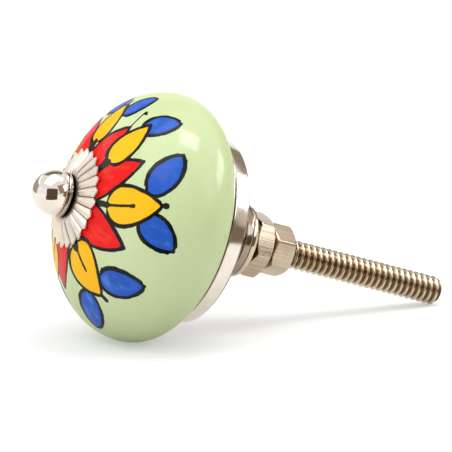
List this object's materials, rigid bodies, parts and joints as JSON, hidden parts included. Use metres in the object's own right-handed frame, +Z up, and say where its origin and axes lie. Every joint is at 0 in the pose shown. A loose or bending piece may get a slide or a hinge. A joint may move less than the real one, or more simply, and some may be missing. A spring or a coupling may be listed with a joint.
{
  "type": "cabinet knob",
  "caption": "Cabinet knob: glazed ceramic bun with a hand-painted floral motif, ball finial, fluted washer, turned nickel base and a threaded rod with hex nuts.",
  "frame": {"origin": "centre of the base's foot, on the plane that seats against the door front", "axes": "+Y along the rod, away from the ball and into the door; +Z up; +X is the side turned towards the camera in the picture"},
  "size_m": [0.04, 0.0746, 0.04],
  "materials": {
    "green_glaze": "gloss glaze over a painted motif",
    "polished_nickel": "polished nickel plate on brass",
    "satin_nickel": "satin nickel plate on steel"
  },
  "bodies": {
    "root": {"ball_finial": "polished_nickel", "fluted_washer": "satin_nickel", "ceramic_body": "green_glaze", "base_dish": "polished_nickel", "collar_washer": "polished_nickel", "clamp_nut": "satin_nickel", "lock_nut": "satin_nickel", "threaded_rod": "satin_nickel"}
  },
  "joints": []
}
